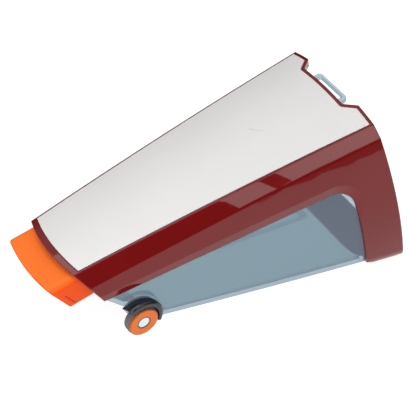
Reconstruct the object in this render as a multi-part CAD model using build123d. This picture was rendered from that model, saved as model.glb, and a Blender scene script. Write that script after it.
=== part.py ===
from build123d import *
import os
from math import cos, radians, sin, tan

# Dust container of a handheld vacuum cleaner, in millimetres.
# Each form is drawn in the container's own frame: x runs back along the top panel from its front
# corners, y to the far side, z up from the panel's long edges. The finished pieces are then pitched
# nose down and set on the table, with the origin under the middle of the whole part.

# Body form
pitch = 16.4
panel_length = 190.0
panel_front_half = 24.2
panel_rear_half = 38.5
crown_front = 3.0
crown_rear = 7.4
panel_arch = 1.6
edge_border = 1.2
rim_border = 2.2
crease_front_drop = 9.8
crease_rear_drop = 7.0
crease_front_half = 31.4
crease_rear_half = 46.0
crease_radius = 6.0
base_front_half = 46.0
base_rear_half = 62.8
base_radius = 12.0
side_bulge_front = 0.9
side_bulge_rear = 6.0
front_depth = 49.1
foot_trim = 0.3
nose_reach = 6.4
nose_slant = 18.7
nose_bow = 130.0

# Walls and seats
shell_wall = 3.2
seat_gap = 0.15
tub_wall = 2.2

# Side windows and rear ring
belt_front_drop = 22.2
belt_rear_drop = 29.0
ring_width = 25.6
arch_radius = 14.0
bevel_width = 5.9
bevel_depth = 2.5
bevel_reach = 7.5
relief_half = 38.0
relief_rise = 8.6
relief_length = 18.0

# Clear tub below the belt
chin_slant = 37.0
apron_spread = 2.6

# Top panel and rear notch
panel_thickness = 1.6
panel_bow = 3.0
panel_gap = 0.3
notch_depth = 7.3
notch_half = 19.4
notch_flare = 6.0
notch_radius = 3.0

# Catch loop
loop_half = 14.0
loop_reach = 0.4
loop_bar = 1.8
loop_leg = 3.0
loop_top = 1.6
loop_thickness = 2.6
loop_root = 6.0
loop_radius = 2.6

# Channel moulded along the tub's floor
channel_half = 5.0
channel_height = 3.0
channel_start = 70.0

# Nozzle
mouth_reach = 17.7
mouth_slant = 24.0
mouth_round = 0.8
head_half = 25.4
head_top = 3.2
head_bottom = 25.9
head_radius = 4.5
head_gap = 0.4
nozzle_wall = 1.8
tube_half = 20.0
tube_top = 8.8
tube_bottom = 22.3
tube_radius = 3.0
stop_lip = 1.2
stop_length = 2.5
slide_travel = 40.0
slide_gap = 0.3
funnel_start = -9.0
funnel_end = 4.0
grip_setback = 4.6
grip_width = 0.9
grip_depth = 0.6
grip_height = 11.0
grip_drop = 17.1
least_round = 0.9

# Nozzle seal, inlet duct and flap
seal_thickness = 2.0
duct_wall = 1.4
duct_tail = 18.5
flap_thickness = 1.5
flap_gap = 0.3
pin_radius = 1.0
pin_clearance = 0.06
pin_seat_gap = 0.02
barrel_wall = 1.0
hinge_drop = 6.6
flap_side_gap = 0.4
ear_thickness = 1.6
ear_length = 14.0
ear_rise = 1.6
ear_fall = 7.4

# Wheels
wheel_x = 21.95
wheel_radius = 10.0
wheel_face = 45.1
tyre_width = 5.2
tyre_seat = 6.6
tyre_round = 1.4
disc_radius = 9.4
disc_rim = 1.3
disc_round = 0.45
hub_recess_radius = 3.7
hub_recess_depth = 1.2
hub_cap_gap = 0.05
hub_cap_dish = 0.35
hub_cap_dome = 11.0
axle_radius = 1.5
axle_clearance = 0.05
axle_seat_gap = 0.02
axle_embed = 1.6
cup_floor = 2.4
cup_wall = 1.2
hood_gap = 0.9
hood_thickness = 3.1
hood_round = 1.8
hood_setback = 1.0
hood_rear_angle = -35.0
wheel_side_gap = 0.5

# Rim seal
rim_seal_length = 1.6
rim_seal_gap = 0.1

# Reach of cutting forms past the body, and of open ends past the rear rim
reach = 260.0
overrun = 10.0

# Derived places
slope = tan(radians(pitch))
rim_x = panel_length + rim_border
ring_x = rim_x - ring_width
tub_inset = shell_wall + seat_gap
tub_inner = tub_inset + tub_wall
tub_floor = tub_inset - foot_trim
tub_rear = rim_x - rim_seal_length - rim_seal_gap
duct_half = tube_half + stop_lip + slide_gap + duct_wall
duct_bottom = tube_bottom + stop_lip + slide_gap + duct_wall
nose_back = tub_inner / cos(radians(nose_slant)) - nose_reach
lip_stop = nose_back + duct_bottom * tan(radians(nose_slant)) + duct_half ** 2 / (2 * nose_bow) + slide_gap
tube_end = lip_stop + slide_travel + stop_length
duct_end = tube_end + duct_tail
barrel_radius = pin_radius + pin_clearance + barrel_wall
hinge_x = duct_end + flap_gap + barrel_radius
wheel_z = -front_depth - wheel_x * slope + wheel_radius / cos(radians(pitch))
wheel_width = disc_rim + hub_cap_gap + tyre_width
plate_y = wheel_face - wheel_width - wheel_side_gap
cup_radius = wheel_radius + hood_gap + cup_wall
hood_radius = wheel_radius + hood_gap + hood_thickness


def along(front, rear, x):
    """Size at station x that changes evenly from the panel's front to its rear corners."""
    return front + (rear - front) * x / panel_length


def arch(x):
    """Rise of the panel's long edges at station x above the line through their ends."""
    return 4 * panel_arch * x * (panel_length - x) / panel_length ** 2


def crease_drop(x):
    """Depth of the crease at station x below the line through the panel's corners."""
    return along(crease_front_drop, crease_rear_drop, x) - arch(x)


def belt_drop(x):
    """Depth of the side window's top edge at station x."""
    return along(belt_front_drop, belt_rear_drop, x)


def rest_drop(x):
    """Depth of the table at station x."""
    return front_depth + x * slope


def moved_in(start, end, inset):
    """Straight wall of a half section from start down to end, moved towards the middle by inset."""
    run = Vector(*end) - Vector(*start)
    inward = Vector(run.Y, -run.X).normalized()
    return Vector(*start) + inward * inset, run.normalized()


def meeting(wall, other):
    """Point where two straight walls, each a point and a direction, meet."""
    (point, run), (other_point, other_run) = wall, other
    gap = other_point - point
    step = (gap.X * other_run.Y - gap.Y * other_run.X) / (run.X * other_run.Y - run.Y * other_run.X)
    return point + run * step


def body_section(x, inset, spread):
    """Cross-section of the body at station x: walls moved in by inset, rear base let out by spread."""
    edge = (along(panel_front_half, panel_rear_half, x) + edge_border, arch(x))
    crease = (along(crease_front_half, crease_rear_half, x), -crease_drop(x))
    base = (along(base_front_half, base_rear_half + spread, x), -rest_drop(x) - foot_trim)
    top_wall = moved_in((0, edge[1]), edge, inset)
    shoulder = moved_in(edge, crease, inset)
    side = moved_in(crease, base, inset)
    floor = moved_in(base, (0, base[1]), inset)
    edge, crease, base = meeting(top_wall, shoulder), meeting(shoulder, side), meeting(side, floor)
    top = Vector(0, edge.Y + along(crown_front, crown_rear, x))
    middle = (crease + base) * 0.5 + Vector(along(side_bulge_front, side_bulge_rear, x), 0)
    half = [
        ThreePointArc(edge, top, mirrored(edge)).edge(),
        Line(edge, crease).edge(),
        ThreePointArc(crease, middle, base).edge(),
        Line(base, mirrored(base)).edge(),
        ThreePointArc(mirrored(crease), mirrored(middle), mirrored(base)).edge(),
        Line(mirrored(edge), mirrored(crease)).edge(),
    ]
    face = make_face(half)
    face = fillet(face.vertices().group_by(Axis.Y)[0], base_radius - inset)
    face = fillet(face.vertices().group_by(Axis.Y)[-2], crease_radius)
    return Plane(origin=(x, 0, 0), x_dir=(0, 1, 0), z_dir=(1, 0, 0)) * face


def mirrored(point):
    """The point's image on the other side of the middle plane."""
    return Vector(-point.X, point.Y)


def nose_form(inset, slant=nose_slant):
    """Round-fronted, slanted form whose front face bounds the body's nose, or the nozzle's mouth."""
    axis_x = -nose_reach + nose_bow / cos(radians(slant))
    return Pos(axis_x, 0, 0) * Rot(0, -slant, 0) * Cylinder(nose_bow - inset, 2 * reach)


def wedge(inset, rear=rim_x, spread=0):
    """Tapered body without its nose, moved in from the outer skin by inset and cut at the rear."""
    return loft([body_section(x, inset, spread) for x in (-2 * nose_reach, panel_length / 2, rear)])


def body_form(inset, rear=rim_x):
    """Tapered body with its nose, moved in from the outer skin by inset and cut at the rear."""
    return wedge(inset, rear) & nose_form(inset)


def skin_half(x, drop):
    """Half width of the outer skin at station x and a depth below the panel's corners."""
    share = (drop - crease_drop(x)) / (rest_drop(x) - crease_drop(x))
    crease = along(crease_front_half, crease_rear_half, x)
    base = along(base_front_half, base_rear_half, x)
    bulge = 4 * along(side_bulge_front, side_bulge_rear, x) * share * (1 - share)
    return crease + (base - crease) * share + bulge


def side_prism(points, half_width):
    """Prism across the middle plane of a side view outline, given as x and z."""
    face = make_face(Polyline([(x, 0, z) for x, z in points], close=True))
    return extrude(face, amount=half_width, dir=(0, 1, 0), both=True)


def duct_prism(grow, start, end, half=tube_half, top=tube_top, bottom=tube_bottom, radius=tube_radius):
    """Round-cornered bar along x: the nozzle tube's section, or another, grown all round."""
    section = Plane.YZ * Pos(0, -(top + bottom) / 2) * RectangleRounded(
        2 * (half + grow), bottom - top + 2 * grow, max(radius + grow, least_round))
    return extrude(Pos(start, 0, 0) * section, amount=end - start, dir=(1, 0, 0))


def plan_corners(margin):
    """Far-side corners of the panel in plan, grown all round by margin: front, rear and notch."""
    notch_x = rim_x - notch_depth
    front = moved_in((0, 0), (0, panel_front_half), -margin)
    side = moved_in((0, panel_front_half), (panel_length, panel_rear_half), -margin)
    rear = moved_in((panel_length, panel_rear_half), (panel_length, 0), -margin)
    flank = moved_in((rim_x, notch_half + notch_flare), (notch_x, notch_half), rim_border - margin)
    bottom = moved_in((notch_x, notch_half), (notch_x, 0), rim_border - margin)
    return [meeting(front, side), meeting(side, rear), meeting(rear, flank), meeting(flank, bottom)]


def panel_prism(margin):
    """Upright prism of the panel's plan outline, grown all round by margin."""
    front, rear, notch_outer, notch_inner = plan_corners(margin)
    far = [front, rear, notch_outer, notch_inner]
    near = [Vector(corner.X, -corner.Y) for corner in reversed(far)]
    outline = Polyline([tuple(corner)[:2] for corner in far + near])
    bow = ThreePointArc(near[-1], (-panel_bow - margin, 0), front)
    face = make_face([edge for edge in outline.edges()] + [bow.edge()])
    inner = face.vertices().filter_by(lambda v: abs(v.X - notch_inner.X) < seat_gap)
    return extrude(fillet(inner, notch_radius), amount=overrun, both=True)


def notch_prism(margin):
    """Upright prism of the rear notch in plan, open past the rim and grown all round by margin."""
    inner_x = rim_x - notch_depth - margin
    outer_x = rim_x + overrun
    outer_half = notch_half + margin + notch_flare * (notch_depth + overrun) / notch_depth
    inner_half = notch_half + margin
    face = make_face(Polyline(
        (inner_x, inner_half), (outer_x, outer_half), (outer_x, -outer_half), (inner_x, -inner_half),
        close=True))
    inner = face.vertices().filter_by(lambda v: abs(v.X - inner_x) < seat_gap)
    return extrude(fillet(inner, notch_radius), amount=overrun, both=True)


def top_layer(thickness):
    """Layer of the body's crowned top, of even thickness."""
    return wedge(0) - Pos(0, 0, -thickness) * wedge(0, rim_x + overrun)


def window_prism(margin):
    """Prism across the body below the belt and in front of the rear ring, moved in by margin."""
    rear = ring_x - margin
    face = make_face(Polyline(
        (-reach, 0, -belt_drop(-reach) - margin), (rear, 0, -belt_drop(rear) - margin), (rear, 0, -reach),
        (-reach, 0, -reach), close=True))
    corner = face.vertices().sort_by(lambda v: v.X + v.Z)[-1]
    return extrude(fillet(corner, arch_radius - margin), amount=reach, dir=(0, 1, 0), both=True)


def tub_form(inset, rear):
    """Form of the tub moved in by inset: close inside the shell, let out to its skin below the belt."""
    skin_inset = seat_gap + inset
    apron = wedge(tub_inset + inset, rim_x, apron_spread) & nose_form(skin_inset) & window_prism(skin_inset)
    apron -= duct_prism(head_gap - inset, -reach, tube_end, head_half, head_top, head_bottom, head_radius)
    chin_x = belt_drop(0) * (tan(radians(nose_slant)) - tan(radians(chin_slant)))
    chin = Pos(chin_x, 0, 0) * nose_form(skin_inset, chin_slant)
    return (body_form(tub_inset + inset, rear) + apron) & chin


def window_bevel():
    """Far-side cutter that leans the shell in towards the window's edge and fades down the pillar."""
    belt = belt_drop(ring_x)
    fall = (belt - belt_drop(0)) / ring_x
    belt_half = skin_half(ring_x, belt)
    taper = (belt_half - skin_half(0, belt_drop(0))) / ring_x
    top = crease_drop(ring_x)
    lean = (skin_half(ring_x, belt + arch_radius) - skin_half(ring_x, top)) / (belt + arch_radius - top)
    outward = Vector(fall * lean - taper, 1, lean).normalized()
    origin = Vector(ring_x, belt_half - bevel_depth / outward.Y, -belt)
    window = Plane(origin=origin, x_dir=(1, taper, -fall), z_dir=outward)
    spread = bevel_width * bevel_reach / bevel_depth
    inner = window * bevel_edge(0, arch_radius)
    outer = window.offset(bevel_reach) * bevel_edge(spread, arch_radius + spread)
    return loft([inner, outer], ruled=True)


def bevel_edge(spread, radius):
    """Window outline in its own plane, y downwards, grown by spread at its top and rear."""
    face = make_face(Polyline(
        (-reach, -spread), (spread, -spread), (spread, reach / 2), (-reach, reach / 2), close=True))
    corner = face.vertices().sort_by(lambda v: v.X - v.Y)[-1]
    return fillet(corner, radius)


def ring_relief():
    """Far-side cutter that slants off the rear ring's lower front corner."""
    high_drop = rest_drop(ring_x) - relief_rise
    back_x = ring_x + relief_length
    low = Vector(ring_x, relief_half, -rest_drop(ring_x))
    high = Vector(ring_x, skin_half(ring_x, high_drop), -high_drop)
    back = Vector(back_x, skin_half(back_x, rest_drop(back_x)), -rest_drop(back_x))
    slant = Plane(origin=low, x_dir=back - low, z_dir=(high - low).cross(back - low))
    return slant * Pos(0, 0, overrun / 2) * Box(3 * ring_width, 3 * ring_width, overrun)


def make_cover_shell():
    """Saddle over the tub with a closed rear ring, side windows and the panel's recess."""
    shell = body_form(0) - body_form(shell_wall, rim_x + overrun)
    shell -= window_prism(0)
    bevel = window_bevel()
    shell -= bevel
    shell -= mirror(bevel, about=Plane.XZ)
    relief = ring_relief()
    shell -= relief
    shell -= mirror(relief, about=Plane.XZ)
    front, rear = ring_x - overrun, rim_x + overrun
    shell -= side_prism([
        (front, -rest_drop(front)), (rear, -rest_drop(rear)),
        (rear, -rest_drop(rear) - overrun), (front, -rest_drop(front) - overrun)], reach)
    shell -= top_layer(panel_thickness + seat_gap) & panel_prism(panel_gap)
    shell -= notch_prism(0)
    return shell - duct_prism(head_gap, -reach, tube_end, head_half, head_top, head_bottom, head_radius)


def make_top_panel():
    """Thin crowned inlay with a bowed front edge and a notched rear edge."""
    return top_layer(panel_thickness) & panel_prism(0)


def floor_channel(grow):
    """Bar along the tub's underside where its floor is pressed up into a channel."""
    start, end = channel_start - grow, ring_x - overrun + grow
    rise = tub_inset + channel_height + grow
    return side_prism([
        (start, -rest_drop(start)), (start, rise - rest_drop(start)),
        (end, rise - rest_drop(end)), (end, -rest_drop(end))], channel_half + grow)


def wheel_well(side, grow):
    """Round pocket in the tub's lower front corner that takes a wheel carrier."""
    room = seat_gap + grow
    well = on_axle(bar_between(cup_radius + room, plate_y - wheel_face - cup_floor - room, reach))
    return well if side > 0 else mirror(well, about=Plane.XZ)


def make_dust_tub():
    """Clear tub, open at the rear, with the nose opening, floor channel and catch loop."""
    tub = tub_form(0, tub_rear) - floor_channel(0)
    hollow = tub_form(tub_wall, rim_x + overrun) - floor_channel(tub_wall)
    for side in (-1, 1):
        tub -= wheel_well(side, 0)
        hollow -= wheel_well(side, tub_wall)
    tub -= hollow
    tub -= duct_prism(slide_gap + seal_thickness, -reach, duct_end - ear_length) & wedge(0)
    tub -= notch_prism(seat_gap) & Pos(0, 0, overrun - crease_rear_drop) * Box(
        2 * reach, reach, 2 * overrun)
    length = loop_root + notch_depth + loop_reach
    middle = rim_x + loop_reach - length / 2
    loop = Pos(middle, 0) * Rectangle(length, 2 * loop_half)
    loop = fillet(loop.vertices().group_by(Axis.X)[-1], loop_radius)
    loop -= Pos(middle - loop_bar, 0) * RectangleRounded(length, 2 * (loop_half - loop_leg), least_round)
    return tub + extrude(Pos(0, 0, loop_top - loop_thickness) * loop, amount=loop_thickness, dir=(0, 0, 1))


def make_slide_nozzle():
    """Flat nozzle: slanted head outside the nose, tube inside it, and a stop lip at the tube's end."""
    head = duct_prism(0, -reach, reach / 4, head_half, head_top, head_bottom, head_radius)
    head = head & (Pos(-mouth_reach, 0, 0) * nose_form(0, mouth_slant))
    head = fillet(head.faces().sort_by(Axis.X)[0].edges(), mouth_round)
    head -= nose_form(tub_inset - head_gap)
    nozzle = head + duct_prism(0, funnel_start, tube_end)
    nozzle += duct_prism(stop_lip, tube_end - stop_length, tube_end)
    nozzle -= duct_prism(-nozzle_wall, funnel_end, reach)
    nozzle -= duct_prism(-nozzle_wall, -reach, funnel_start, head_half, head_top, head_bottom, head_radius)
    wide = duct_prism(-nozzle_wall, funnel_start, 0, head_half, head_top, head_bottom, head_radius)
    narrow = duct_prism(-nozzle_wall, 0, funnel_end)
    nozzle -= loft([wide.faces().sort_by(Axis.X)[0], narrow.faces().sort_by(Axis.X)[-1]], ruled=True)
    side_bow = head_half ** 2 / (2 * nose_bow)
    grip_x = grip_setback + side_bow - nose_reach - mouth_reach + grip_drop * tan(radians(mouth_slant))
    groove = Rot(0, -mouth_slant, 0) * Box(grip_width, 2 * grip_depth, grip_height)
    for side in (-1, 1):
        nozzle -= Pos(grip_x, side * head_half, -grip_drop) * groove
    return nozzle


def make_nozzle_seal():
    """Rubber ring that fills the nose opening round the nozzle's tube."""
    ring = duct_prism(slide_gap + seal_thickness - seat_gap, -reach / 4, reach / 4)
    ring -= duct_prism(slide_gap, -reach, reach)
    return (ring & nose_form(tub_inset)) - nose_form(tub_inner)


def make_inlet_duct():
    """Guide sleeve behind the nose wall, with two ears that hold the flap's pin."""
    bore = stop_lip + slide_gap
    sleeve = duct_prism(bore + duct_wall, -reach / 4, duct_end) & nose_form(tub_inner + seat_gap)
    ear_front = duct_end - ear_length
    ear_rear = hinge_x + barrel_radius
    ear_height = ear_rise + ear_fall
    ear_z = -hinge_drop + (ear_rise - ear_fall) / 2
    for side in (-1, 1):
        ear_y = side * (duct_half + ear_thickness / 2)
        ear = Pos((ear_front + ear_rear) / 2, ear_y, ear_z) * Box(
            ear_rear - ear_front, ear_thickness, ear_height)
        web_y = side * (duct_half - duct_wall / 2)
        web = Pos(duct_end - ear_length / 2, web_y, ear_z) * Box(ear_length, 2 * duct_wall, ear_height)
        sleeve += ear + (web & duct_prism(bore + duct_wall, ear_front, duct_end, radius=0))
    sleeve -= duct_prism(bore, -reach, reach)
    return sleeve - hinge_bar(pin_radius + pin_seat_gap, reach)


def hinge_bar(radius, half_width):
    """Round bar across the body on the flap's hinge line."""
    return Pos(hinge_x, 0, -hinge_drop) * Rot(90, 0, 0) * Cylinder(radius, 2 * half_width)


def make_inlet_flap():
    """Rubber flap that hangs from a barrel and covers the duct's inner end."""
    half = duct_half - flap_side_gap
    bottom = duct_bottom - flap_gap
    leaf = Pos(duct_end + flap_gap + flap_thickness / 2, 0, -(hinge_drop + bottom) / 2) * Box(
        flap_thickness, 2 * half, bottom - hinge_drop)
    return leaf + hinge_bar(barrel_radius, half) - hinge_bar(pin_radius + pin_clearance, reach)


def make_flap_pin():
    """Hinge pin held in the duct's two ears."""
    return hinge_bar(pin_radius, duct_half + ear_thickness)


def make_rim_seal():
    """Rubber strip on the tub's rear edge, broken at the notch."""
    strip = wedge(tub_inset + rim_seal_gap, rim_x) - wedge(tub_inner - rim_seal_gap, rim_x + overrun)
    strip &= Pos(tub_rear + rim_seal_gap / 2 + reach / 2, 0, 0) * Box(reach, reach, reach)
    return strip - notch_prism(seat_gap)


def on_axle(shape):
    """Place a wheel piece, drawn along z with its face at zero, on the far-side axle line."""
    return Pos(wheel_x, wheel_face, wheel_z) * Rot(-90, 0, 0) * shape


def bar_between(radius, low, high):
    """Round bar on the z axis from low to high."""
    return Pos(0, 0, (low + high) / 2) * Cylinder(radius, high - low)


def make_wheel_disc():
    """Wheel body: flat face with a hub recess, and the drum that carries the tyre."""
    disc = bar_between(disc_radius, -disc_rim, 0) + bar_between(tyre_seat, -wheel_width, -disc_rim)
    rim = disc.edges().filter_by(GeomType.CIRCLE).group_by(Axis.Z)[-1]
    disc = fillet(rim, disc_round)
    disc -= bar_between(hub_recess_radius, -hub_recess_depth, 0)
    return on_axle(disc - bar_between(axle_radius + axle_clearance, -wheel_width, 0))


def make_tyre():
    """Soft round-edged tread on the wheel's drum, behind its face."""
    top = -disc_rim - hub_cap_gap
    tread = bar_between(wheel_radius, top - tyre_width, top)
    tread = fillet(tread.edges().filter_by(GeomType.CIRCLE), tyre_round)
    return on_axle(tread - bar_between(tyre_seat + hub_cap_gap, -wheel_width - tyre_width, 0))


def make_hub_cap():
    """Cap with a dished face, pressed into the hub recess over the axle's end."""
    cap = bar_between(hub_recess_radius - hub_cap_gap, -hub_recess_depth, -hub_cap_dish)
    return on_axle(cap - Pos(0, 0, hub_cap_dome - 2 * hub_cap_dish) * Sphere(hub_cap_dome))


def make_axle():
    """Steel axle from the carrier's plate to just under the hub cap."""
    inner = -wheel_width - wheel_side_gap - axle_embed
    return on_axle(bar_between(axle_radius, inner, -hub_recess_depth - hub_cap_dish))


def make_wheel_carrier():
    """Cup in the tub's corner pocket with a thicker round hood over the wheel, outside the tub's skin."""
    plate = plate_y - wheel_face
    hood = bar_between(hood_radius, plate, -hood_setback)
    hood = on_axle(fillet(hood.edges().filter_by(GeomType.CIRCLE).group_by(Axis.Z)[-1], hood_round))
    cup = on_axle(bar_between(cup_radius, plate - cup_floor, -hood_round))
    carrier = (hood - tub_form(-seat_gap, rim_x) + cup) & nose_form(tub_inset)
    carrier -= on_axle(bar_between(wheel_radius + hood_gap, plate, reach))
    tip = radians(hood_rear_angle)
    below = side_prism([
        (wheel_x, wheel_z),
        (wheel_x + reach * cos(tip), wheel_z + reach * sin(tip)),
        (wheel_x - reach, wheel_z - reach),
        (wheel_x - reach, wheel_z)], reach)
    carrier -= below & (Pos(0, plate_y + reach / 2, 0) * Box(4 * reach, reach, 4 * reach))
    carrier -= side_prism([
        (-reach, tub_floor - rest_drop(-reach)), (reach, tub_floor - rest_drop(reach)),
        (reach, -reach), (-reach, -reach)], reach)
    return carrier - on_axle(bar_between(axle_radius + axle_seat_gap, plate - axle_embed, 0))


pieces = {
    "cover_shell": make_cover_shell(),
    "dust_tub": make_dust_tub(),
    "top_panel": make_top_panel(),
    "slide_nozzle": make_slide_nozzle(),
    "nozzle_seal": make_nozzle_seal(),
    "inlet_duct": make_inlet_duct(),
    "inlet_flap": make_inlet_flap(),
    "flap_pin": make_flap_pin(),
    "rim_seal": make_rim_seal(),
}
wheel_pieces = {
    "wheel_carrier": make_wheel_carrier(),
    "tyre": make_tyre(),
    "wheel_disc": make_wheel_disc(),
    "hub_cap": make_hub_cap(),
    "axle": make_axle(),
}
for name, far_piece in wheel_pieces.items():
    pieces["right_" + name] = far_piece
    pieces["left_" + name] = mirror(far_piece, about=Plane.XZ)

# Pitch the container nose down on the table, with the origin under the middle of the whole part
pitched = {name: Rot(0, -pitch, 0) * piece for name, piece in pieces.items()}
boxes = [piece.bounding_box() for piece in pitched.values()]
middle_x = (min(box.min.X for box in boxes) + max(box.max.X for box in boxes)) / 2
table_z = min(box.min.Z for box in boxes)

os.makedirs("parts", exist_ok=True)
for name, piece in pitched.items():
    export_step(Pos(-middle_x, 0, -table_z) * piece, "parts/" + name + ".step")
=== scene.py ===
import logging
from dataclasses import dataclass, field
from enum import Enum
from math import cos, pi, radians, sin, tan

import bpy
from mathutils import Matrix, Vector

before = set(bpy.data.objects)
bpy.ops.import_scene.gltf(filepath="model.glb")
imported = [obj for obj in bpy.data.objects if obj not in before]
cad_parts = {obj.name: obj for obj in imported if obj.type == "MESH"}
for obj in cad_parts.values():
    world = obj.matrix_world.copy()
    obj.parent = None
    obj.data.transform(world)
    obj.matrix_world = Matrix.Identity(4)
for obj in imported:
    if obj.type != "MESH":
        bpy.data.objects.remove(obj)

LOG = logging.getLogger("dust_container")
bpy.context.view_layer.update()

# Lengths are in metres and angles in degrees, and a share goes from 0 to 1.
Colour = tuple[float, float, float]
Place = tuple[float, float, float]
Span = tuple[float, float]
Socket = bpy.types.NodeSocket
Feed = Socket | float | tuple[float, ...]

WHITE = (1.0, 1.0, 1.0, 1.0)
RISE: Span = (0.0, 1.0)
# Values that most of a noise lies between.
NOISE_SPAN: Span = (0.3, 0.7)
# Rays that find a softened edge.
EDGE_SAMPLES = 6
# Dot products of the softened and the true surface direction where an edge starts and is full.
EDGE_LEAN: Span = (0.985, 0.80)


class Side(Enum):
    """The two sides of the container, as seen by its user."""

    LEFT = "left"
    RIGHT = "right"


class Nodes:
    """A node tree, with short calls for the nodes that work out numbers and colours."""

    def __init__(self, tree: bpy.types.NodeTree) -> None:
        """Work on that tree."""
        self.tree = tree

    def feed(self, socket: Socket, value: Feed) -> None:
        """Link an input or set it.

        Args:
            socket: The input.
            value: A socket to link or a value to set.
        """
        if isinstance(value, bpy.types.NodeSocket):
            self.tree.links.new(value, socket)
        else:
            socket.default_value = value

    def node(self, kind: str, **inputs: Feed) -> bpy.types.Node:
        """Add a node and feed its inputs by name.

        Args:
            kind: Blender's name of the node type, without its ShaderNode start.
            inputs: Input names, with spaces written as underscores, and what to feed them.

        Returns:
            The new node.
        """
        made = self.tree.nodes.new("ShaderNode" + kind)
        for name, value in inputs.items():
            self.feed(made.inputs[name.replace("_", " ")], value)
        return made

    def operation(self, family: str, kind: str, values: tuple[Feed, ...]) -> bpy.types.Node:
        """Add a node that calculates and feed its inputs in their order.

        Args:
            family: Math or VectorMath.
            kind: Blender's name of the operation.
            values: What to feed the inputs.

        Returns:
            The new node.
        """
        made = self.node(family)
        made.operation = kind
        for socket, value in zip(made.inputs, values):
            self.feed(socket, value)
        return made

    def number(self, kind: str, *values: Feed) -> Socket:
        """Number that an operation of that kind makes of numbers."""
        return self.operation("Math", kind, values).outputs["Value"]

    def vector(self, kind: str, *values: Feed) -> Socket:
        """Vector or colour that an operation of that kind makes of vectors."""
        return self.operation("VectorMath", kind, values).outputs["Vector"]

    def measure(self, kind: str, *values: Feed) -> Socket:
        """Number that an operation of that kind makes of vectors."""
        return self.operation("VectorMath", kind, values).outputs["Value"]

    def scaled(self, vector: Feed, scale: Socket) -> Socket:
        """Multiply a vector or colour by a number.

        Args:
            vector: The vector or colour.
            scale: The number.

        Returns:
            The product.
        """
        made = self.operation("VectorMath", "SCALE", (vector,))
        self.feed(made.inputs["Scale"], scale)
        return made.outputs["Vector"]

    def fade(self, value: Socket, span: Span, ends: Span) -> Socket:
        """Go from one end to the other as a value goes over a span, and stay there outside it.

        Args:
            value: The value.
            span: Values at which the fade starts and ends.
            ends: Results there.

        Returns:
            The result.
        """
        made = self.node(
            "MapRange", Value=value,
            From_Min=span[0], From_Max=span[1], To_Min=ends[0], To_Max=ends[1])
        return made.outputs["Result"]


class Graph(Nodes):
    """Node tree of one material, with short calls for what the finishes share."""

    def __init__(self, name: str) -> None:
        """Start an empty material.

        Args:
            name: Name of the material.
        """
        self.material: bpy.types.Material = bpy.data.materials.new(name)
        self.material.use_nodes = True
        super().__init__(self.material.node_tree)
        self.tree.nodes.clear()
        self.output: bpy.types.Node = self.node("OutputMaterial")
        self.place: Socket = self.node("TexCoord").outputs["Object"]

    def noise(self, scale: float, detail: float) -> Socket:
        """Noise over the piece's own place, by its cells per metre and number of finer layers."""
        return self.node("TexNoise", Vector=self.place, Scale=scale, Detail=detail).outputs["Fac"]

    def blend(self, share: Socket, low: Colour, high: Colour) -> Socket:
        """Go from one colour to another over a noise's usual span.

        Args:
            share: The noise.
            low: Colour where the noise is low.
            high: Colour where it is high.

        Returns:
            The colour.
        """
        ramp = self.node("ValToRGB", Fac=share)
        for stop, colour, position in zip(ramp.color_ramp.elements, (low, high), NOISE_SPAN):
            stop.color = (*colour, 1.0)
            stop.position = position
        return ramp.outputs["Color"]

    def shifted(self, colour: Feed, share: Socket, old: Colour, new: Colour) -> Socket:
        """Add a share of the difference between two plain colours to a colour."""
        change = tuple(after - before for before, after in zip(old, new))
        return self.vector("MULTIPLY_ADD", share, change, colour)

    def softened(self, radius: float) -> Socket:
        """Surface direction with sharp edges rounded to a radius.

        Args:
            radius: The radius.

        Returns:
            A normal socket.
        """
        soft = self.node("Bevel", Radius=radius)
        soft.samples = EDGE_SAMPLES
        return soft.outputs["Normal"]

    def edges(self, width: float) -> Socket:
        """Share that is 0 on flats and grows to 1 on edges.

        Near an edge the softened surface direction leans away from the true one, so the share
        follows how far the size of their dot product falls below one.

        Args:
            width: Distance from an edge at which the share starts.

        Returns:
            The share.
        """
        true = self.node("NewGeometry").outputs["True Normal"]
        lean = self.measure("DOT_PRODUCT", self.softened(width), true)
        return self.fade(self.number("ABSOLUTE", lean), EDGE_LEAN, RISE)

    def bump(self, height: Socket, depth: float, edge: float) -> Socket:
        """Surface direction with fine relief and softened edges.

        Args:
            height: Grey height of the relief.
            depth: Full depth of the relief.
            edge: Radius that sharp edges are softened to.

        Returns:
            A normal socket.
        """
        made = self.node(
            "Bump", Height=height, Distance=depth, Strength=1.0, Normal=self.softened(edge))
        return made.outputs["Normal"]

    def surface(self, shader: bpy.types.Node) -> bpy.types.Material:
        """Put a shader on the output and hand over the material."""
        self.feed(self.output.inputs["Surface"], shader.outputs[0])
        return self.material


@dataclass(frozen=True)
class Scratches:
    """Sparse fine lines: noise drawn out along one direction and cut off below a height.

    Attributes:
        length: Length of a line.
        turn: Direction of the lines, seen from above.
        least: Height of the noise at which a line starts.
        width: Width of a line.
        ramp: Further height at which a line is full.
    """

    length: float
    turn: float
    least: float
    width: float = 0.0003
    ramp: float = 0.05

    def share(self, graph: Graph) -> Socket:
        """Find the lines.

        Args:
            graph: The material's graph.

        Returns:
            A share that is 1 on a line.
        """
        drawn = graph.node(
            "Mapping", Vector=graph.place, Rotation=(0.0, 0.0, radians(self.turn)),
            Scale=(1.0 / self.length, 1.0 / self.width, 1.0 / self.width))
        noise = graph.node("TexNoise", Vector=drawn.outputs["Vector"], Scale=1.0, Detail=1.0)
        return graph.fade(noise.outputs["Fac"], (self.least, self.least + self.ramp), RISE)


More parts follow.
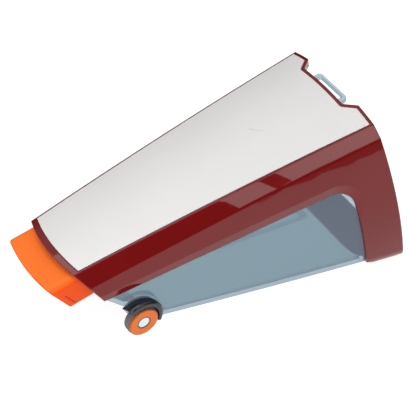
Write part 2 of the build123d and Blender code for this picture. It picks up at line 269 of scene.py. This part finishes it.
@dataclass(frozen=True)
class PaintedShadeRing:
    """Ring of painted shade round an axle line that runs across the part, where a recess or gap
    darkens.

    Attributes:
        centre: Place of the axle line in x and z.
        radius: Radius of the ring.
        width: Distance from the ring at which the painted shade ends.
        strength: Share of the painted shade on the ring.
    """

    centre: tuple[float, float]
    radius: float
    width: float
    strength: float

    def share(self, graph: Graph) -> Socket:
        """Find the painted shade, by the distance from the axle line in x and z.

        Args:
            graph: The material's graph.

        Returns:
            The share of the painted shade.
        """
        off = graph.vector("SUBTRACT", graph.place, (self.centre[0], 0.0, self.centre[1]))
        away = graph.measure("LENGTH", graph.vector("MULTIPLY", off, (1.0, 0.0, 1.0)))
        gap = graph.number("ABSOLUTE", graph.number("SUBTRACT", away, self.radius))
        return graph.fade(gap, (0.0, self.width), (self.strength, 0.0))


@dataclass(frozen=True)
class Scuff:
    """Short scratch between two points of the surface, deepest at its start.

    Attributes:
        start: Where it starts.
        end: Where it ends.
        width: Distance from its line at which it ends.
        strength: Its share on the line at its start.
        tail: Part of that strength that is left at its end.
    """

    start: Place
    end: Place
    width: float
    strength: float
    tail: float = 0.3

    def share(self, graph: Graph) -> Socket:
        """Find the scratch, by the distance from its line and the way along it.

        Args:
            graph: The material's graph.

        Returns:
            The share of the scratch.
        """
        run = Vector(self.end) - Vector(self.start)
        off = graph.vector("SUBTRACT", graph.place, self.start)
        ahead = graph.measure("DOT_PRODUCT", off, tuple(run / run.length_squared))
        ahead = graph.fade(ahead, RISE, RISE)
        away = graph.measure("DISTANCE", off, graph.scaled(tuple(run), ahead))
        near = graph.fade(away, (0.0, self.width), (self.strength, 0.0))
        return graph.number("MULTIPLY", near, graph.fade(ahead, RISE, (1.0, self.tail)))


@dataclass(frozen=True)
class MouldedPlastic:
    """Opaque plastic, rubber or steel: colour drift, fine grain, scratches and worn soft edges.

    Attributes:
        name: Name of the material.
        colour: Colour of the surface.
        drift: Colour that it drifts to in slow clouds.
        roughness: Roughness at the low and the high places of the grain.
        specular: The shader's specular level.
        grain: Cells of the grain per metre.
        depth: Depth of the grain.
        edge: Radius that sharp edges are softened to.
        wear: Share that edges are rubbed in the high places of the wear's noise.
        metallic: 1 for metal.
        painted_top_highlight: Colour of the faces that look upwards, a painted highlight that makes
            the top lighter as if lit from overhead.
        marks: Rings of painted shade and single scratches.
        cloud: Cells of the drift per metre.
        patches: Cells of the wear's noise per cell of the drift.
        low_wear: Share that edges are rubbed in the low places of the wear's noise.
        reach: Width of a rubbed edge over the edge's radius.
        kept: Share of its colour that a rubbed edge keeps.
        whitened: White that is added there.
        upward: Upward parts of the surface direction where the painted top highlight starts and is
            full.
        dulled: Roughness that rubbing and scratches add.
        scratches: Two sets of fine lines.
    """

    name: str
    colour: Colour
    drift: Colour
    roughness: Span
    specular: float
    grain: float
    depth: float
    edge: float
    wear: float
    metallic: float = 0.0
    painted_top_highlight: Colour | None = None
    marks: tuple[PaintedShadeRing | Scuff, ...] = ()
    cloud: float = 22.0
    patches: float = 7.0
    low_wear: float = 0.2
    reach: float = 1.2
    kept: float = 0.75
    whitened: float = 0.10
    upward: Span = (0.35, 0.95)
    dulled: float = 0.06
    scratches: tuple[Scratches, Scratches] = (
        Scratches(length=0.020, turn=35.0, least=0.70),
        Scratches(length=0.014, turn=-62.0, least=0.72),
    )

    def rubbed(self, graph: Graph) -> Socket:
        """Find the rubbed edges.

        Args:
            graph: The material's graph.

        Returns:
            The share of the rubbing, which is the edges times a noise.
        """
        noise = graph.noise(self.cloud * self.patches, detail=3.0)
        patches = graph.fade(noise, NOISE_SPAN, (self.low_wear, self.wear))
        return graph.number("MULTIPLY", graph.edges(self.edge * self.reach), patches)

    def tone(self, graph: Graph, rubbed: Socket) -> Socket:
        """Colour with its drift, painted top highlight, rubbed edges and marks (scratches and rings
        of painted shade), in that order.

        Args:
            graph: The material's graph.
            rubbed: The share of the rubbing.

        Returns:
            The colour.
        """
        tone = graph.blend(graph.noise(self.cloud, detail=3.0), self.colour, self.drift)
        # Faces that look up get a lighter colour: a painted highlight, as if lit from overhead.
        if self.painted_top_highlight:
            normal = graph.node("NewGeometry").outputs["Normal"]
            rise = graph.node("SeparateXYZ", Vector=normal).outputs["Z"]
            tone = graph.shifted(
                tone, graph.fade(rise, self.upward, RISE), self.colour, self.painted_top_highlight)
        worn = tuple(self.kept * channel + self.whitened for channel in self.colour)
        tone = graph.shifted(tone, rubbed, self.colour, worn)
        # Marks darken the colour: scratches, and rings of painted shade.
        for mark in self.marks:
            tone = graph.scaled(tone, graph.number("SUBTRACT", 1.0, mark.share(graph)))
        return tone

    def material(self) -> bpy.types.Material:
        """Make the material, whose colour and roughness follow the piece's own place.

        Returns:
            The material.
        """
        graph = Graph(self.name)
        grain = graph.noise(self.grain, detail=2.0)
        rubbed = self.rubbed(graph)
        lines = graph.number("MAXIMUM", *(each.share(graph) for each in self.scratches))
        shader = graph.node(
            "BsdfPrincipled",
            Base_Color=self.tone(graph, rubbed),
            Roughness=graph.number(
                "MULTIPLY_ADD", graph.number("MAXIMUM", rubbed, lines), self.dulled,
                graph.fade(grain, NOISE_SPAN, self.roughness)),
            Specular_IOR_Level=self.specular,
            Metallic=self.metallic,
            Normal=graph.bump(grain, self.depth, self.edge),
        )
        return graph.surface(shader)


@dataclass(frozen=True)
class ClearPlastic:
    """Smoked clear plastic: tinted wall, hazy outside, painted shade along edges, glossy when
    grazed.

    Attributes:
        name: Name of the material.
        tint: Colour of the light that passes a wall straight on.
        film: Colour of the haze on the surface.
        painted_edge_shade: Colour of the film along edges, a dark painted shade.
        roughness: Roughness of the film where it is smoothest.
        haze: Share of the film on the outer skin.
        gloss: Share of the film that grazing adds on the outer skin.
        inner_gloss: The same on the other skins.
        edge: Width of the painted dark edges.
        edge_share: Share of the film that edges add.
        depth: Share of its light that a grazed skin takes, as its wall is longer to pass.
        middle: Middle of the hollow, which the outer skin faces away from.
        duller: Roughness of the film where it is roughest over where it is smoothest.
        cloud: Cells of the roughness per metre.
        graze: Power of the grazing that adds gloss.
        dulled: Roughness that scratches add.
        scratches: Fine lines.
    """

    name: str
    tint: Colour
    film: Colour
    painted_edge_shade: Colour
    roughness: float
    haze: float
    gloss: float
    inner_gloss: float
    edge: float
    edge_share: float
    depth: float
    middle: Place
    duller: float = 1.6
    cloud: float = 14.0
    graze: float = 5.0
    dulled: float = 0.1
    scratches: Scratches = Scratches(length=0.025, turn=20.0, least=0.70)

    def outer_skin(self, graph: Graph) -> Socket:
        """Find the skin that faces away from the middle, where it is seen from outside.

        Args:
            graph: The material's graph.

        Returns:
            A share that is 1 there and 0 elsewhere.
        """
        seen = graph.node("NewGeometry")
        off = graph.vector("SUBTRACT", graph.place, self.middle)
        away = graph.measure("DOT_PRODUCT", seen.outputs["True Normal"], off)
        outer = graph.number("GREATER_THAN", away, 0.0)
        outer = graph.number("SUBTRACT", outer, seen.outputs["Backfacing"])
        return graph.number("MAXIMUM", outer, 0.0)

    def wall(self, graph: Graph, facing: Socket) -> bpy.types.Node:
        """See-through shader: a wall takes light where a ray enters it, and the ray leaves freely.

        The colour is the tint times the square of one less depth times the square of grazing, as
        a wall has two skins and a grazing ray has a longer way through it.

        Args:
            graph: The material's graph.
            facing: Grazing, from 0 straight on to 1.

        Returns:
            The shader.
        """
        skin = graph.number("MULTIPLY_ADD", graph.number("POWER", facing, 2.0), -self.depth, 1.0)
        passed = graph.scaled(self.tint, graph.number("POWER", skin, 2.0))
        leaving = graph.node("NewGeometry").outputs["Backfacing"]
        return graph.node("BsdfTransparent", Color=graph.vector("MAXIMUM", passed, leaving))

    def coat(self, graph: Graph, edges: Socket) -> bpy.types.Node:
        """Shader of the film, with painted shade along edges, and duller in clouds and scratches.

        Args:
            graph: The material's graph.
            edges: The share of the edges.

        Returns:
            The shader.
        """
        smooth = graph.fade(
            graph.noise(self.cloud, detail=4.0), NOISE_SPAN,
            (self.roughness, self.roughness * self.duller))
        lines = self.scratches.share(graph)
        return graph.node(
            "BsdfPrincipled",
            Base_Color=graph.shifted(self.film, edges, self.film, self.painted_edge_shade),
            Roughness=graph.number("MULTIPLY_ADD", lines, self.dulled, smooth),
        )

    def material(self) -> bpy.types.Material:
        """Make the material: the wall under the film, by the share of haze, edges and grazing.

        Returns:
            The material.
        """
        graph = Graph(self.name)
        facing = graph.node("LayerWeight", Blend=0.5).outputs["Facing"]
        edges = graph.edges(self.edge)
        outer = self.outer_skin(graph)
        gloss = graph.number(
            "MULTIPLY_ADD", outer, self.gloss - self.inner_gloss, self.inner_gloss)
        share = graph.number("MULTIPLY", graph.number("POWER", facing, self.graze), gloss)
        share = graph.number("MULTIPLY_ADD", outer, self.haze, share)
        # Edges add a share of film in the dark edge colour, a painted shade.
        share = graph.number("MULTIPLY_ADD", edges, self.edge_share, share)
        mixed = graph.node("MixShader", Fac=share)
        graph.feed(mixed.inputs[1], self.wall(graph, facing).outputs[0])
        graph.feed(mixed.inputs[2], self.coat(graph, edges).outputs[0])
        return graph.surface(mixed)


Finish = MouldedPlastic | ClearPlastic

# Place of the wheels' axle line in x and z.
WHEEL_AXLE = (-0.063186, 0.010)

RED_GLOSS = MouldedPlastic(
    name="red_gloss",
    colour=(0.141, 0.0040, 0.0048),
    drift=(0.156, 0.0050, 0.0060),
    roughness=(0.012, 0.022),
    specular=0.38,
    grain=900.0,
    depth=0.0000006,
    edge=0.0010,
    wear=0.10,
)
PALE_SATIN = MouldedPlastic(
    name="pale_satin",
    colour=(0.625, 0.610, 0.605),
    drift=(0.645, 0.630, 0.625),
    roughness=(0.34, 0.44),
    specular=0.28,
    grain=2600.0,
    depth=0.000004,
    edge=0.0003,
    wear=0.3,
    marks=(
        Scuff(
            start=(0.0262, -0.0022, 0.0911), end=(0.0318, -0.0092, 0.0924),
            width=0.0007, strength=0.22),
    ),
)
ORANGE_SATIN = MouldedPlastic(
    name="orange_satin",
    colour=(0.75, 0.068, 0.002),
    drift=(0.79, 0.078, 0.003),
    roughness=(0.30, 0.42),
    specular=0.10,
    grain=2200.0,
    depth=0.000012,
    edge=0.0007,
    wear=0.3,
    # Painted highlight: the nozzle's top is coloured lighter, as if lit from overhead.
    painted_top_highlight=(0.82, 0.152, 0.020),
)
ORANGE_WHEEL = MouldedPlastic(
    name="orange_wheel",
    colour=(0.64, 0.140, 0.017),
    drift=(0.69, 0.155, 0.021),
    roughness=(0.34, 0.46),
    specular=0.22,
    grain=2200.0,
    depth=0.000012,
    edge=0.0006,
    wear=0.5,
    # Painted shade in the recess round the hub cap, and a second painted shade ring further out on
    # the disc.
    marks=(
        PaintedShadeRing(centre=WHEEL_AXLE, radius=0.0039, width=0.0006, strength=0.85),
        PaintedShadeRing(centre=WHEEL_AXLE, radius=0.0094, width=0.0008, strength=0.5),
    ),
)
DARK_GLOSS = MouldedPlastic(
    name="dark_gloss",
    colour=(0.008, 0.012, 0.019),
    drift=(0.013, 0.017, 0.026),
    roughness=(0.06, 0.11),
    specular=0.50,
    grain=1200.0,
    depth=0.000006,
    edge=0.0006,
    wear=0.3,
)
TREAD = MouldedPlastic(
    name="tread_rubber",
    colour=(0.115, 0.106, 0.100),
    drift=(0.145, 0.133, 0.124),
    roughness=(0.62, 0.80),
    specular=0.35,
    grain=3000.0,
    depth=0.00006,
    edge=0.0006,
    wear=0.4,
)
HUB_PALE = MouldedPlastic(
    name="hub_pale",
    colour=(0.63, 0.77, 0.89),
    drift=(0.68, 0.81, 0.92),
    roughness=(0.20, 0.28),
    specular=0.5,
    grain=2000.0,
    depth=0.000006,
    edge=0.0003,
    wear=0.2,
)
SEAL_RUBBER = MouldedPlastic(
    name="seal_rubber",
    colour=(0.022, 0.022, 0.024),
    drift=(0.032, 0.032, 0.034),
    roughness=(0.55, 0.72),
    specular=0.35,
    grain=2600.0,
    depth=0.00003,
    edge=0.0003,
    wear=0.2,
)
TURNED_STEEL = MouldedPlastic(
    name="turned_steel",
    colour=(0.50, 0.50, 0.51),
    drift=(0.58, 0.58, 0.59),
    roughness=(0.25, 0.38),
    specular=0.5,
    grain=4000.0,
    depth=0.000004,
    edge=0.0002,
    wear=0.2,
    metallic=1.0,
)
SMOKED_CLEAR = ClearPlastic(
    name="smoked_clear",
    tint=(0.428, 0.561, 0.572),
    film=(0.375, 0.44, 0.58),
    # Dark film colour painted along the edges as shade.
    painted_edge_shade=(0.05, 0.08, 0.12),
    roughness=0.04,
    haze=0.30,
    gloss=0.85,
    inner_gloss=0.15,
    edge=0.0008,
    edge_share=0.40,
    depth=0.5,
    middle=(0.0, 0.0, 0.05),
)


@dataclass
class Dressing:
    """Puts finishes on the frame's nodes."""

    made: dict[str, bpy.types.Material] = field(default_factory=dict)

    def dress(self, node: str, finish: Finish) -> None:
        """Give one node its finish, made once and shared.

        Args:
            node: Name of the node in the frame.
            finish: The finish to put on it.
        """
        if finish.name not in self.made:
            self.made[finish.name] = finish.material()
        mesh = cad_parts[node].data
        mesh.materials.clear()
        mesh.materials.append(self.made[finish.name])
        LOG.info("%s: %s", node, finish.name)


@dataclass
class Container:
    """Tub, shell, panel and the inlet behind the nose."""

    dressing: Dressing

    def build(self) -> None:
        """Dress the pieces that stay together."""
        finishes = {
            "dust_tub": SMOKED_CLEAR,
            "inlet_duct": SMOKED_CLEAR,
            "cover_shell": RED_GLOSS,
            "top_panel": PALE_SATIN,
            "nozzle_seal": SEAL_RUBBER,
            "inlet_flap": SEAL_RUBBER,
            "rim_seal": SEAL_RUBBER,
            "flap_pin": TURNED_STEEL,
        }
        for piece, finish in finishes.items():
            self.dressing.dress(piece, finish)


@dataclass
class Nozzle:
    """Slide-out nozzle."""

    dressing: Dressing

    def build(self) -> None:
        """Dress the nozzle."""
        self.dressing.dress("slide_nozzle", ORANGE_SATIN)


@dataclass
class Wheel:
    """One front wheel with its carrier."""

    dressing: Dressing
    side: Side

    def build(self) -> None:
        """Dress the wheel's pieces."""
        finishes = {
            "wheel_carrier": DARK_GLOSS,
            "tyre": TREAD,
            "wheel_disc": ORANGE_WHEEL,
            "hub_cap": HUB_PALE,
            "axle": TURNED_STEEL,
        }
        for piece, finish in finishes.items():
            self.dressing.dress(self.side.value + "_" + piece, finish)


@dataclass(frozen=True)
class SoftBox:
    """Rectangular lamp, by the angles that it covers as seen from the part.

    Attributes:
        name: Name of the lamp.
        bearing: Direction of its middle round the part, from the part's rear.
        spread: Angle across it.
        bottom: Height angle of its lower side.
        top: Height angle of its upper side.
        distance: Distance of its middle from the part.
        radiance: Its brightness.
    """

    name: str
    bearing: float
    spread: float
    bottom: float
    top: float
    distance: float
    radiance: float

    @property
    def middle(self) -> float:
        """Height angle of the lamp's middle."""
        return (self.bottom + self.top) / 2.0


@dataclass
class Studio:
    """Pale floor, soft light and the camera.

    Attributes:
        eye: Place of the camera.
        right: Direction of the picture's right.
        up: Direction of the picture's top.
        lens: Focal length of the camera in millimetres.
        sensor: Width of its sensor in millimetres.
        floor_half: Half the width of the floor.
        floor_shades: The two greys that the floor drifts between.
        floor_cloud: Cells of that drift per metre.
        floor_roughness: Roughness of the floor.
        floor_specular: The floor's specular level.
        floor_glow: Brightness of the floor's own light.
        glow_half: Half the width of the lamp on the floor.
        glow_rise: Height of that lamp over the floor.
        sky_span: Upward parts of a direction between which the surroundings get bright.
        sky_ends: Brightness of the surroundings below and above that.
        backdrop: Brightness of the surroundings where they show.
        aim: Point that the soft boxes face.
        boxes: The soft boxes.
    """

    eye: Vector = field(default_factory=lambda: Vector((-0.40623, -0.5203, 0.60269)))
    right: Vector = field(default_factory=lambda: Vector((0.83544, -0.53811, 0.11172)))
    up: Vector = field(default_factory=lambda: Vector((0.28229, 0.59456, 0.75288)))
    lens: float = 126.7
    sensor: float = 36.0
    floor_half: float = 6.0
    floor_shades: tuple[Colour, Colour] = ((0.34, 0.34, 0.34), (0.36, 0.36, 0.36))
    floor_cloud: float = 1.5
    floor_roughness: float = 0.9
    floor_specular: float = 0.1
    floor_glow: float = 0.88
    glow_half: float = 1.2
    glow_rise: float = 0.0002
    sky_span: Span = (0.4, 0.7)
    sky_ends: Span = (0.03, 0.80)
    backdrop: float = 0.95
    aim: Vector = field(default_factory=lambda: Vector((0.0, 0.0, 0.05)))
    boxes: tuple[SoftBox, ...] = (
        SoftBox(
            name="overhead_box", bearing=165.0, spread=50.0, bottom=38.0, top=88.0,
            distance=1.4, radiance=2.2),
        SoftBox(
            name="fill_box", bearing=-130.0, spread=44.0, bottom=1.0, top=23.0,
            distance=1.5, radiance=4.0),
        SoftBox(
            name="near_upper_box", bearing=-84.0, spread=26.0, bottom=27.2, top=38.0,
            distance=1.2, radiance=2.6),
        SoftBox(
            name="near_lower_box", bearing=-86.0, spread=26.0, bottom=22.6, top=25.8,
            distance=1.2, radiance=2.6),
    )

    def build(self) -> None:
        """Make the floor, the lights and the camera."""
        self.floor()
        self.underlight()
        self.world()
        for box in self.boxes:
            self.softbox(box)
        self.camera()
        bpy.context.scene.view_settings.view_transform = "Standard"

    def stand(self, name: str, data: bpy.types.ID) -> bpy.types.Object:
        """Put a new object into the scene.

        Args:
            name: Name of the object.
            data: Its mesh, lamp or camera.

        Returns:
            The object.
        """
        made = bpy.data.objects.new(name, data)
        bpy.context.scene.collection.objects.link(made)
        return made

    def floor(self) -> None:
        """Wide plain sheet at the table's height, a grid of two by two points."""
        half = self.floor_half
        corners = [(-half, -half, 0.0), (half, -half, 0.0), (half, half, 0.0), (-half, half, 0.0)]
        mesh = bpy.data.meshes.new("floor")
        mesh.from_pydata(corners, [], [(0, 1, 2, 3)])
        graph = Graph("floor_white")
        # The glow shows to the camera alone, and the lamp on the floor lights the part for it.
        graph.material.cycles.emission_sampling = "NONE"
        seen = graph.node("LightPath").outputs["Is Camera Ray"]
        shader = graph.node(
            "BsdfPrincipled",
            Base_Color=graph.blend(graph.noise(self.floor_cloud, detail=2.0), *self.floor_shades),
            Roughness=self.floor_roughness,
            Specular_IOR_Level=self.floor_specular,
            Emission_Color=WHITE,
            Emission_Strength=graph.number("MULTIPLY", seen, self.floor_glow),
        )
        mesh.materials.append(graph.surface(shader))
        sheet = self.stand("floor", mesh)

    def underlight(self) -> None:
        """Level lamp on the floor that lights the part from below as the floor's glow would."""
        lamp = bpy.data.lights.new("underlight", "AREA")
        lamp.shape = "SQUARE"
        lamp.size = 2.0 * self.glow_half
        lamp.energy = self.floor_glow * pi * lamp.size ** 2
        holder = self.stand("underlight", lamp)
        holder.location = (0.0, 0.0, self.glow_rise)
        holder.rotation_euler = (pi, 0.0, 0.0)
        holder.visible_camera = False

    def world(self) -> None:
        """Surroundings, bright overhead and dim near the horizon, with a pale backdrop."""
        world = bpy.data.worlds.new("surroundings")
        world.use_nodes = True
        nodes = Nodes(world.node_tree)
        direction = nodes.node("TexCoord").outputs["Generated"]
        height = nodes.node("SeparateXYZ", Vector=direction).outputs["Z"]
        seen = nodes.node("LightPath").outputs["Is Camera Ray"]
        strength = nodes.node(
            "Mix", Factor=seen, A=nodes.fade(height, self.sky_span, self.sky_ends), B=self.backdrop)
        sky = world.node_tree.nodes["Background"]
        nodes.feed(sky.inputs["Color"], WHITE)
        nodes.feed(sky.inputs["Strength"], strength.outputs["Result"])
        bpy.context.scene.world = world

    def softbox(self, box: SoftBox) -> None:
        """Rectangular lamp at its bearing and height round the part, facing the part's middle.

        Args:
            box: Place, size and brightness of the lamp.
        """
        lamp = bpy.data.lights.new(box.name, "AREA")
        lamp.shape = "RECTANGLE"
        lamp.size = 2.0 * box.distance * tan(radians(box.spread) / 2.0)
        upper = tan(radians(box.top - box.middle))
        lower = tan(radians(box.middle - box.bottom))
        lamp.size_y = box.distance * (upper + lower)
        lamp.energy = box.radiance * pi * lamp.size * lamp.size_y
        level = cos(radians(box.middle)) * box.distance
        place = Vector((
            level * cos(radians(box.bearing)),
            level * sin(radians(box.bearing)),
            sin(radians(box.middle)) * box.distance,
        ))
        holder = self.stand(box.name, lamp)
        holder.location = self.aim + place
        holder.rotation_euler = (-place).to_track_quat("-Z", "Y").to_euler()

    def camera(self) -> None:
        """Long lens from above the near front side, slightly rolled."""
        lens = bpy.data.cameras.new("camera")
        lens.lens = self.lens
        lens.sensor_width = self.sensor
        holder = self.stand("camera", lens)
        back = self.right.cross(self.up).normalized()
        turn = Matrix((self.right, self.up, back)).transposed().to_4x4()
        holder.matrix_world = Matrix.Translation(self.eye) @ turn
        bpy.context.scene.camera = holder


def main() -> None:
    """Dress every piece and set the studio."""
    logging.basicConfig(level=logging.INFO, format="%(name)s %(message)s")
    dressing = Dressing()
    Container(dressing).build()
    Nozzle(dressing).build()
    for side in Side:
        Wheel(dressing, side).build()
    Studio().build()


if __name__ == "__main__":
    main()
